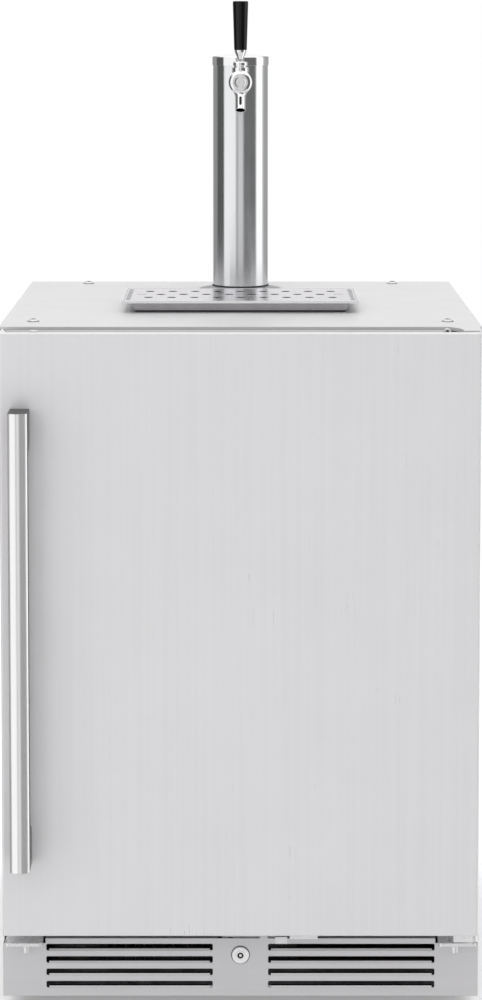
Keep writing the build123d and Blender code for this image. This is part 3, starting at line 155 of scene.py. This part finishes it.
def surface(name, colour, metallic, rough, grain=None, grain_depth=0.25, mottle=0.05, mottle_scale=9.0,
            fine=350.0, fine_depth=0.06, wear=0.15, dust=0.0, painted_side_shade=None, painted_shade_box=None,
            painted_highlight_above=None, round_z=False, fixed=None):
    """A material with colour drift, roughness drift, grain or fine texture, and lightened worn edges.

    painted_side_shade is the colour of painted shade on faces that don't look to the front. painted_shade_box
    is a box (low corner, high corner) where painted shade makes the surface black. painted_highlight_above is
    a height over which a painted highlight makes the metal bright. round_z brushes the metal round a vertical
    axis. fixed gives constants for the shader's sockets by name.
    """
    material = bpy.data.materials.new(name)
    s = Shader(material)
    place = s.place()
    bsdf = s.add("ShaderNodeBsdfPrincipled")
    out = s.add("ShaderNodeOutputMaterial")
    s.link(bsdf.outputs[0], out.inputs[0])
    drift = s.noise(place, mottle_scale, 4.0, 0.6)
    base = s.mix(s.span(drift, 0.3, 0.7, 0.0, 1.0), tone(colour, 1 - mottle), tone(colour, 1 + mottle))
    roughness = s.span(s.noise(place, mottle_scale * 2.3, 3.0), 0.3, 0.7, rough * 0.88,
                       min(1.0, rough * 1.12))
    edge_normal = s.add("ShaderNodeBevel", samples=3)
    edge_normal.inputs["Radius"].default_value = EDGE_RADIUS
    normal = edge_normal.outputs[0]
    if grain is not None:
        scale = tuple(GRAIN_ALONG if axis == grain else GRAIN_ACROSS for axis in "XYZ")
        lines = s.noise(s.stretched(place, scale), 1.0, 2.0, 0.6)
        wide_scale = tuple(GRAIN_ALONG * BAND_ALONG if axis == grain else GRAIN_ACROSS * BAND_ACROSS
                           for axis in "XYZ")
        wide = s.noise(s.stretched(place, wide_scale), 1.0, 2.0, 0.6)
        base = s.mix(s.span(wide, 0.3, 0.7, 0.0, 0.10), base, tone(colour, 0.72))
        roughness = s.math("ADD", roughness, s.span(lines, 0.3, 0.7, -0.05, 0.07))
        normal = s.bump(lines, grain_depth, 0.0001, normal)
    if fine_depth:
        normal = s.bump(s.noise(place, fine, 3.0, 0.6), fine_depth, 0.0004, normal)
    if wear:
        sharp = s.add("ShaderNodeNewGeometry").outputs["Pointiness"]
        patchy = s.span(s.noise(place, 60.0, 4.0), 0.4, 0.62, 0.0, 1.0)
        worn = s.math("MULTIPLY", s.span(sharp, 0.52, 0.60, 0.0, wear), patchy)
        base = s.mix(worn, base, tone(colour, 1.5))
    if dust:
        film = s.span(s.noise(place, 26.0, 5.0, 0.7), 0.45, 0.75, 0.0, dust)
        base = s.mix(film, base, DUST_COLOUR)
    # Painted shade: faces that don't look to the front take the darker colour.
    if painted_side_shade:
        facing = s.add("ShaderNodeSeparateXYZ")
        s.link(s.add("ShaderNodeTexCoord").outputs["Normal"], facing.inputs[0])
        base = s.mix(s.span(facing.outputs[1], -0.55, -0.35, 0.0, 1.0), base, tone(painted_side_shade, 1.0))
    # Painted highlight: above the given height the colour is bright metal.
    if painted_highlight_above:
        rise = s.add("ShaderNodeSeparateXYZ")
        s.link(place, rise.inputs[0])
        base = s.mix(s.math("GREATER_THAN", rise.outputs[2], painted_highlight_above), base, PAINTED_HIGHLIGHT_METAL)
    # Painted shade: inside the box the surface is black, rough and not metallic.
    if painted_shade_box:
        axes = s.add("ShaderNodeSeparateXYZ")
        s.link(place, axes.inputs[0])
        within = 1.0
        for axis, (low, high) in enumerate(zip(*painted_shade_box)):
            over = s.math("GREATER_THAN", axes.outputs[axis], low)
            under = s.math("LESS_THAN", axes.outputs[axis], high)
            within = s.math("MULTIPLY", within, s.math("MULTIPLY", over, under))
        base = s.mix(within, base, PAINTED_SHADE_BLACK)
        roughness = s.math("MAXIMUM", roughness, s.math("MULTIPLY", within, 0.8))
        shine = s.math("MULTIPLY", s.math("SUBTRACT", 1.0, within), metallic)
        s.link(shine, bsdf.inputs["Metallic"])
    if round_z:
        around = s.add("ShaderNodeTangent", direction_type="RADIAL", axis="Z")
        s.link(around.outputs[0], bsdf.inputs["Tangent"])
    s.link(base, bsdf.inputs["Base Color"])
    s.link(roughness, bsdf.inputs["Roughness"])
    s.link(normal, bsdf.inputs["Normal"])
    bsdf.inputs["Metallic"].default_value = metallic
    for key, value in (fixed or {}).items():
        bsdf.inputs[key].default_value = value
    return material


# Boxes in which painted shade makes the toe-kick, the drip tray and the drip grid black: behind the front
# sheet of the louvres, inside the basin, and down the walls of the holes.
kick_low, kick_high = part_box("toe_kick")
kick_shade_box = ((kick_low.x + 0.002, kick_low.y + 0.0018, 0.0),
               (kick_high.x - 0.002, kick_high.y - 0.001, 0.0935))
tray_low, tray_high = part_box("drip_tray")
grid_low, grid_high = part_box("drip_grid")
tray_shade_box = ((grid_low.x + 0.007, tray_low.y + 0.0085, tray_low.z + 0.0005),
               (grid_high.x - 0.007, tray_high.y - 0.0085, grid_low.z - 0.0005))
grid_shade_box = ((grid_low.x + 0.002, grid_low.y + 0.002, grid_low.z + 0.0002),
               (grid_high.x - 0.002, grid_high.y - 0.002, grid_high.z - 0.0001))
finishes = {
    "stainless": surface("stainless", (0.82, 0.81, 0.825), 0.38, 0.36, grain="Z", grain_depth=0.2,
                         mottle=0.012, wear=0.0),
    # The toe-kick's steel: a darker copy of the stainless with low specular as painted shade under the door,
    # and painted black shade behind the louvres.
    "kick_steel_painted_shade": surface("kick_steel_painted_shade", (0.68, 0.67, 0.685), 0.38, 0.36, grain="X", grain_depth=0.15,
                          mottle=0.012,
                          wear=0.0, painted_shade_box=kick_shade_box, fixed={"Specular IOR Level": 0.15}),
    "worktop_steel": surface("worktop_steel", (0.72, 0.715, 0.725), 0.20, 0.42, grain="X", grain_depth=0.10,
                             mottle=0.012, fine_depth=0.03, wear=0.0),
    "casing_paint": surface("casing_paint", (0.020, 0.020, 0.022), 0.0, 0.48, fine=1400, fine_depth=0.30,
                            dust=0.015),
    "galvanised": surface("galvanised", (0.50, 0.51, 0.52), 0.8, 0.42, mottle=0.14, mottle_scale=70,
                          dust=0.10),
    "white_plastic": surface("white_plastic", (0.84, 0.84, 0.835), 0.0, 0.34, mottle=0.015, fine=900,
                             fine_depth=0.06, wear=0.0),
    "grey_plastic": surface("grey_plastic", (0.36, 0.355, 0.36), 0.0, 0.42, fine=1200, fine_depth=0.12),
    "black_plastic": surface("black_plastic", (0.016, 0.016, 0.017), 0.0, 0.42, fine=1200, fine_depth=0.15,
                             dust=0.04),
    "gloss_black": surface("gloss_black", (0.003, 0.003, 0.003), 0.0, 0.16, mottle=0.2, fine_depth=0.01,
                           wear=0.0, fixed={"Specular IOR Level": 0.32}),
    "foam": surface("foam", (0.80, 0.70, 0.45), 0.0, 0.85, mottle=0.10, mottle_scale=40, fine=700,
                    fine_depth=0.5),
    "rubber": surface("rubber", (0.022, 0.022, 0.022), 0.0, 0.68, fine=900, fine_depth=0.2, dust=0.12),
    "gasket_grey": surface("gasket_grey", (0.36, 0.36, 0.37), 0.0, 0.55, fine=600, fine_depth=0.1, wear=0.05),
    "chrome": surface("chrome", (0.90, 0.90, 0.91), 1.0, 0.05, mottle=0.01, fine_depth=0.008, wear=0.0),
    "brushed_chrome": surface("brushed_chrome", (0.82, 0.83, 0.84), 1.0, 0.20, mottle=0.01, fine_depth=0.008,
                              wear=0.0, round_z=True,
                              fixed={"Anisotropic": 0.9, "Anisotropic Rotation": 0.25}),
    "flange_steel": surface("flange_steel", (0.60, 0.61, 0.62), 0.8, 0.35, mottle=0.02, fine_depth=0.01,
                            wear=0.0, fixed={"Specular Tint": (0.4, 0.4, 0.4, 1.0)}),
    # The handle's metal, with painted shade: its faces that don't look to the front are painted dark grey.
    "handle_metal": surface("handle_metal", (0.92, 0.91, 0.92), 0.72, 0.16, grain="Z", grain_depth=0.06,
                            mottle=0.015, fine_depth=0.01, wear=0.0, painted_side_shade=(0.17, 0.17, 0.175),
                            fixed={"Specular Tint": (0.4, 0.4, 0.4, 1.0), "Specular IOR Level": 0.1}),
    # The drip tray's steel: a darker copy of the grid's steel as painted shade on its front, painted black
    # shade inside the basin, and a painted highlight along its rim's top.
    "tray_steel": surface("tray_steel", (0.40, 0.39, 0.40), 0.75, 0.27, grain="X", grain_depth=0.12,
                          mottle=0.03, painted_shade_box=tray_shade_box, painted_highlight_above=tray_high.z - 0.0035),
    # The drip grid's steel: a lighter copy of the tray's steel as painted light on its top, with painted
    # black shade down the walls of its holes.
    "grid_steel_painted_light_and_shade": surface("grid_steel_painted_light_and_shade", (0.76, 0.75, 0.77), 0.90, 0.22, grain="X", grain_depth=0.08,
                          mottle=0.02,
                          painted_shade_box=grid_shade_box, fixed={"Specular Tint": (0.86, 0.85, 0.87, 1.0)}),
    "zinc": surface("zinc", (0.84, 0.84, 0.85), 0.45, 0.28, mottle=0.05, mottle_scale=40),
    # Black for painted shade in recesses, gaps and holes, and for the printed ticks of the gauges.
    "painted_shade_and_print_black": surface("painted_shade_and_print_black", (0.006, 0.006, 0.006), 0.0, 0.6, mottle=0.1, fine=900, wear=0.0),
    "dial_white": surface("dial_white", (0.86, 0.86, 0.84), 0.0, 0.35, mottle=0.01, fine=900, fine_depth=0.03,
                          wear=0.0),
    "needle_red": surface("needle_red", (0.55, 0.03, 0.02), 0.0, 0.35, fine=900, fine_depth=0.03, wear=0.0),
    "lock_nickel": surface("lock_nickel", (0.95, 0.95, 0.96), 0.35, 0.22, mottle=0.02, mottle_scale=60,
                           wear=0.0),
    "brass": surface("brass", (0.72, 0.53, 0.24), 1.0, 0.24, mottle=0.08, mottle_scale=60),
    "compressor_paint": surface("compressor_paint", (0.012, 0.012, 0.013), 0.0, 0.30, fine=500,
                                fine_depth=0.08, dust=0.16),
    "aluminium": surface("aluminium", (0.70, 0.71, 0.72), 1.0, 0.34, grain="Z", mottle=0.06),
    "bottle_paint": surface("bottle_paint", (0.62, 0.63, 0.65), 0.95, 0.34, grain="Z", grain_depth=0.35,
                            mottle=0.05),
    "diffuser": surface("diffuser", (0.88, 0.91, 0.94), 0.0, 0.32, mottle=0.01, fine_depth=0.03, wear=0.0,
                        fixed={"Emission Color": (0.9, 0.95, 1.0, 1.0), "Emission Strength": 0.25}),
    "gauge": surface("gauge", (0.70, 0.70, 0.71), 0.9, 0.20, mottle=0.03),
    "beer_hose": surface("beer_hose", (0.86, 0.84, 0.76), 0.0, 0.16, mottle=0.03, fine_depth=0.02, wear=0.0,
                         fixed={"Transmission Weight": 0.55, "IOR": 1.45}),
    "gas_hose": surface("gas_hose", (0.45, 0.025, 0.02), 0.0, 0.34, mottle=0.06, fine=800, fine_depth=0.08),
}
# Each solid takes the finish of its record slot, except where the photo or its place asks for another.
slot_of = {part["node"]: part["material_slot"] for part in record["subparts"]}
slot_of.update(toe_kick="kick_steel_painted_shade", drip_grid="grid_steel_painted_light_and_shade", tower_tube="brushed_chrome",
               tower_flange="flange_steel", lock_bolt="stainless", lock_cylinder="lock_nickel",
               lock_plug="lock_nickel", base_pan="compressor_paint", condenser_coil="compressor_paint")
for name, item in nodes.items():
    item.data.materials.clear()
    item.data.materials.append(finishes[slot_of[name]])

# ---- free lines -----------------------------------------------------------------------------
LINE_DIAMETER = 0.011
BEER_ROUTE = [(0, 0.2285, 1.122), (0, 0.2285, 1.060), (0.0015, 0.2275, 0.990), (0.0010, 0.2260, 0.920),
              (0, 0.2255, 0.845), (0, 0.2245, 0.770), (0, 0.2245, 0.700)]
GAS_ROUTE = [(0.118, 0.1995, 0.521), (0.118, 0.1995, 0.500), (0.100, 0.203, 0.462), (0.072, 0.209, 0.424),
             (0.035, 0.215, 0.402), (0, 0.220, 0.405), (-0.027, 0.223, 0.432), (-0.041, 0.2245, 0.475),
             (-0.042, 0.2245, 0.520), (-0.042, 0.2245, 0.612)]


def line(name, route, slot_name):
    data = bpy.data.curves.new(name, "CURVE")
    data.dimensions = "3D"
    data.bevel_depth = LINE_DIAMETER / 2
    data.bevel_resolution = 6
    data.use_fill_caps = True
    spline = data.splines.new("NURBS")
    spline.points.add(len(route) - 1)
    for point, place in zip(spline.points, route):
        point.co = (*place, 1.0)
    spline.order_u = 3
    spline.use_endpoint_u = True
    spline.resolution_u = 16
    piece = bpy.data.objects.new(name, data)
    scene.collection.objects.link(piece)
    data.materials.append(finishes[slot_name])
    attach(piece, "cabinet")
    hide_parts(name)
    return piece


line("beer_line", BEER_ROUTE, "beer_hose").name = "beer_line_hose"
line("gas_line", GAS_ROUTE, "gas_hose").name = "gas_line_hose"

# ---- small details --------------------------------------------------------------------------


def piece(name, mesh_maker, finish, body, slot_name=None):
    """A mesh object made by mesh_maker(bm), riding on a body."""
    bm = bmesh.new()
    mesh_maker(bm)
    bmesh.ops.recalc_face_normals(bm, faces=bm.faces)
    data = bpy.data.meshes.new(name)
    bm.to_mesh(data)
    bm.free()
    data.materials.append(finishes[finish])
    made = bpy.data.objects.new(name, data)
    scene.collection.objects.link(made)
    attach(made, body)
    return made


def turned(bm, profile, frame_matrix, segments=48):
    """Adds a round form to bm: profile is (radius, height) points, turned about the matrix's Z axis."""
    rings = []
    for radius, height in profile:
        if radius == 0:
            rings.append([bm.verts.new(frame_matrix @ Vector((0, 0, height)))])
            continue
        turns = [2 * math.pi * k / segments for k in range(segments)]
        points = [Vector((radius * math.cos(t), radius * math.sin(t), height)) for t in turns]
        rings.append([bm.verts.new(frame_matrix @ point) for point in points])
    for low, high in zip(rings, rings[1:]):
        for k in range(segments):
            after = (k + 1) % segments
            corners = [low[k % len(low)], low[after % len(low)], high[after % len(high)], high[k % len(high)]]
            unique = list(dict.fromkeys(corners))
            if len(unique) > 2:
                bm.faces.new(unique)


def prism(bm, outline, thick, frame_matrix):
    """Adds an extruded flat outline to bm, from the matrix's XY plane up its Z axis."""
    low = [bm.verts.new(frame_matrix @ Vector((u, v, 0))) for u, v in outline]
    high = [bm.verts.new(frame_matrix @ Vector((u, v, thick))) for u, v in outline]
    bm.faces.new(low[::-1])
    bm.faces.new(high)
    for k in range(len(low)):
        after = (k + 1) % len(low)
        bm.faces.new((low[k], low[after], high[after], high[k]))


def ring_profile(inner, outer, thick):
    """The profile of a flat ring from height 0 to its thickness."""
    return [(inner, 0), (outer, 0), (outer, thick), (inner, thick), (inner, 0)]


UP = Matrix.Identity(4)
FRONTWARD = Matrix.Rotation(math.radians(90), 4, "X")


def at(x, y, z, turn=UP):
    return Matrix.Translation((x, y, z)) @ turn


def round_piece(name, profile, place, finish, body, slot_name):
    piece(name, lambda bm: turned(bm, profile, place), finish, body, slot_name)


# Black crosses of painted shade in the worktop screws' cross recesses, and dark rings round their heads.
screw_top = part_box("casing_screws")[1].z
CROSS = [(0.0009, 0.0009), (0.0009, 0.0036), (-0.0009, 0.0036), (-0.0009, 0.0009), (-0.0036, 0.0009),
         (-0.0036, -0.0009), (-0.0009, -0.0009), (-0.0009, -0.0036), (0.0009, -0.0036), (0.0009, -0.0009),
         (0.0036, -0.0009), (0.0036, 0.0009)]
SCREWS = ((-0.2594, -0.1665), (0.2594, -0.1665), (-0.2155, 0.2975), (0.2155, 0.2975))


def crosses(bm):
    for x, y in SCREWS:
        prism(bm, CROSS, 0.0004, at(x, y, screw_top - 0.0002))


def screw_washers(bm):
    for x, y in SCREWS:
        turned(bm, ring_profile(0.0066, 0.0078, 0.0003), at(x, y, screw_top - 0.003))


piece("screw_recesses", crosses, "painted_shade_and_print_black", "cabinet", "black_plastic")
piece("screw_washers", screw_washers, "rubber", "cabinet", "black_plastic")

# Lock: a black ring of painted shade in the gap round the cylinder, and another in the key ring round its
# centre post.
lock_low, lock_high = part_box("lock_cylinder")
lock_x = (lock_low.x + lock_high.x) / 2
lock_z = (lock_low.z + lock_high.z) / 2
round_piece("lock_gap", ring_profile(0.0106, 0.0116, 0.0003),
            at(lock_x, kick_low.y + 0.0001, lock_z, FRONTWARD), "painted_shade_and_print_black", "cabinet", "black_plastic")
round_piece("lock_key_ring", ring_profile(0.0017, 0.0038, 0.0009),
            at(lock_x, lock_low.y + 0.0021, lock_z, FRONTWARD), "painted_shade_and_print_black", "lock_plug", "black_plastic")

# A black slit of painted shade down the front of the tap's spout, which leans 27 degrees: its sine and
# cosine.
LEAN_SIN = 0.45399
LEAN_COS = 0.89101
SPOUT_AXIS = Vector((0, -LEAN_SIN, -LEAN_COS))
SPOUT_FRONT = Vector((0, -LEAN_COS, LEAN_SIN))
SPOUT_MIDDLE = Vector((0, 0.12438, 1.12377))
SLIT_RADIUS = 0.0017
SLIT_HALF_STRAIGHT = 0.0045
slit_turn = Matrix.Rotation(-math.atan2(LEAN_SIN, LEAN_COS), 4, "X") @ FRONTWARD
slit_place = SPOUT_MIDDLE + SPOUT_AXIS * 0.001 + SPOUT_FRONT * 0.00695


def slit(bm):
    turns = [math.radians(7.5 + 15 * k) for k in range(24)]
    outline = [(SLIT_RADIUS * math.cos(t),
                SLIT_RADIUS * math.sin(t) + SLIT_HALF_STRAIGHT * (1 if math.sin(t) > 0 else -1))
               for t in turns]
    prism(bm, outline, 0.0003, Matrix.Translation(slit_place) @ slit_turn)


piece("spout_slit", slit, "painted_shade_and_print_black", "cabinet", "chrome")

# A white plug and a bright bush ring on the door's top cap, with a black disc of painted shade in the bush's
# hole.
door_cap_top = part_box("door_end_caps")[1].z
round_piece("door_plug", [(0, 0.0), (0.0050, 0.0), (0.0052, 0.0004), (0.0040, 0.0009), (0, 0.0011)],
            at(-0.252, -0.2605, door_cap_top), "white_plastic", "door", "white_plastic")
bush = at(0.252, -0.2600, door_cap_top - 0.0004, FRONTWARD)
round_piece("door_bush_ring",
            [(0.0022, 0.0), (0.0042, 0.0), (0.0044, 0.0012), (0.0040, 0.0026), (0.0022, 0.0026),
             (0.0022, 0.0)],
            bush, "white_plastic", "door", "white_plastic")
round_piece("door_bush_hole", [(0, 0.0012), (0.0023, 0.0012), (0.0023, 0.0018), (0, 0.0018)],
            bush, "painted_shade_and_print_black", "door", "black_plastic")

# Gauge dials with ticks and needles: the centre's x and z, and the needle's angle.
GAUGES = [(0.126, 0.637, 40), (0.087, 0.577, -60)]
DIAL_Y = 0.1819
TICK_OUTER = 0.0142
TICK_COUNT = 25
TICK_START = -225
TICK_SWEEP = 270


def dials(bm):
    for x, z, _ in GAUGES:
        turned(bm, [(0, 0), (0.0157, 0), (0.0157, 0.0003), (0, 0.0003)], at(x, DIAL_Y, z, FRONTWARD))


def ticks(bm):
    for x, z, _ in GAUGES:
        for k in range(TICK_COUNT):
            angle = math.radians(TICK_START + k * TICK_SWEEP / (TICK_COUNT - 1))
            long, wide = (0.0030, 0.00035) if k % 4 == 0 else (0.0016, 0.0002)
            turn = FRONTWARD @ Matrix.Rotation(angle, 4, "Z")
            inner = TICK_OUTER - long
            outline = [(inner, -wide), (TICK_OUTER, -wide), (TICK_OUTER, wide), (inner, wide)]
            prism(bm, outline, 0.0001, at(x, DIAL_Y - 0.0003, z, turn))


def needles(bm):
    for x, z, angle in GAUGES:
        turn = FRONTWARD @ Matrix.Rotation(math.radians(angle), 4, "Z")
        prism(bm, [(-0.004, -0.0006), (0.012, -0.0002), (0.012, 0.0002), (-0.004, 0.0006)], 0.0002,
              at(x, DIAL_Y - 0.0006, z, turn))
        turned(bm, [(0, 0.0), (0.0014, 0.0), (0.0012, 0.0006), (0, 0.0007)],
               at(x, DIAL_Y - 0.0007, z, FRONTWARD), 20)


piece("gauge_dials", dials, "dial_white", "cabinet", "gauge")
piece("gauge_ticks", ticks, "painted_shade_and_print_black", "cabinet", "gauge")
piece("gauge_needles", needles, "needle_red", "cabinet", "gauge")

# ---- floor and light ------------------------------------------------------------------------
floor_mesh = bpy.data.meshes.new("floor")
sheet = bmesh.new()
bmesh.ops.create_grid(sheet, x_segments=8, y_segments=8, size=7.0)
sheet.to_mesh(floor_mesh)
sheet.free()
floor = bpy.data.objects.new("floor", floor_mesh)
scene.collection.objects.link(floor)
floor.visible_glossy = False
floor_look = bpy.data.materials.new("floor")
s = Shader(floor_look)
floor_bsdf = s.add("ShaderNodeBsdfPrincipled")
floor_out = s.add("ShaderNodeOutputMaterial")
s.link(floor_bsdf.outputs[0], floor_out.inputs[0])
s.link(s.mix(s.noise(s.place(), 1.5), (0.86, 0.86, 0.86, 1), (0.88, 0.88, 0.88, 1)),
       floor_bsdf.inputs["Base Color"])
floor_bsdf.inputs["Roughness"].default_value = 0.8
floor_bsdf.inputs["Emission Color"].default_value = (1, 1, 1, 1)
floor_bsdf.inputs["Emission Strength"].default_value = 0.28
floor_mesh.materials.append(floor_look)

# A studio of pale and dark panels round the object: (degrees from the front, positive to the right,
# brightness).
PANELS = [(-180, 1.00), (-170, 1.00), (-164, 0.34), (-118, 0.30), (-110, 0.10), (-76, 0.10), (-71, 1.02),
          (-22, 1.02), (-17, 0.42), (-12, 0.42), (-8, 0.68), (8, 0.68), (12, 0.40), (17, 0.15), (62, 0.15),
          (67, 0.30), (73, 1.30), (101, 1.30), (108, 0.66), (116, 0.42), (164, 0.36), (170, 1.00),
          (180, 1.00)]
BRIGHTEST = 1.3
CEILING = 1.15
world = bpy.data.worlds.new("studio")
scene.world = world
s = Shader(world)
direction = s.add("ShaderNodeSeparateXYZ")
s.link(s.add("ShaderNodeTexCoord").outputs["Generated"], direction.inputs[0])
x, y, z = direction.outputs
bearing = s.math("ARCTAN2", x, s.math("MULTIPLY", y, -1.0))
ramp = s.add("ShaderNodeValToRGB")
s.link(s.span(bearing, -math.pi, math.pi, 0.0, 1.0), ramp.inputs[0])
stops = ramp.color_ramp.elements
while len(stops) > 1:
    stops.remove(stops[-1])
for index, (degrees, level) in enumerate(PANELS):
    stop = stops[0] if index == 0 else stops.new((degrees + 180) / 360)
    stop.position = (degrees + 180) / 360
    stop.color = (level / BRIGHTEST, level / BRIGHTEST, level / BRIGHTEST, 1.0)
walls = s.add("ShaderNodeBackground")
s.link(ramp.outputs[0], walls.inputs[0])
walls.inputs[1].default_value = BRIGHTEST
ceiling = s.add("ShaderNodeBackground")
ceiling.inputs[0].default_value = (1, 1, 1, 1)
ceiling.inputs[1].default_value = CEILING
room = s.add("ShaderNodeMixShader")
s.link(s.span(z, 0.45, 0.75, 0.0, 1.0, smooth=True), room.inputs[0])
s.link(walls.outputs[0], room.inputs[1])
s.link(ceiling.outputs[0], room.inputs[2])
# The camera sees plain white where there is no object, and only reflections see the panels.
seen = s.add("ShaderNodeBackground")
seen.inputs[0].default_value = (1, 1, 1, 1)
seen.inputs[1].default_value = 1.0
whole = s.add("ShaderNodeMixShader")
s.link(s.add("ShaderNodeLightPath").outputs["Is Camera Ray"], whole.inputs[0])
s.link(room.outputs[0], whole.inputs[1])
s.link(seen.outputs[0], whole.inputs[2])
world_out = s.add("ShaderNodeOutputWorld")
s.link(whole.outputs[0], world_out.inputs[0])


def soft_light(name, place, aim, size, power):
    data = bpy.data.lights.new(name, "AREA")
    data.shape = "SQUARE"
    data.size = size
    data.energy = power
    lamp = bpy.data.objects.new(name, data)
    scene.collection.objects.link(lamp)
    lamp.location = place
    lamp.rotation_euler = (Vector(aim) - Vector(place)).to_track_quat("-Z", "Y").to_euler()
    lamp.visible_glossy = False
    lamp.visible_camera = False


soft_light("front_left", (-2.6, -4.2, 2.6), (0, -0.2, 0.5), 2.4, 14)
soft_light("front_right", (2.6, -4.2, 2.2), (0, -0.2, 0.5), 2.4, 12)
soft_light("overhead", (0, -0.6, 4.0), (0, 0, 0.5), 2.5, 14)
soft_light("back", (0, 4.0, 2.2), (0, 0.2, 0.6), 2.5, 14)

bpy.context.view_layer.update()
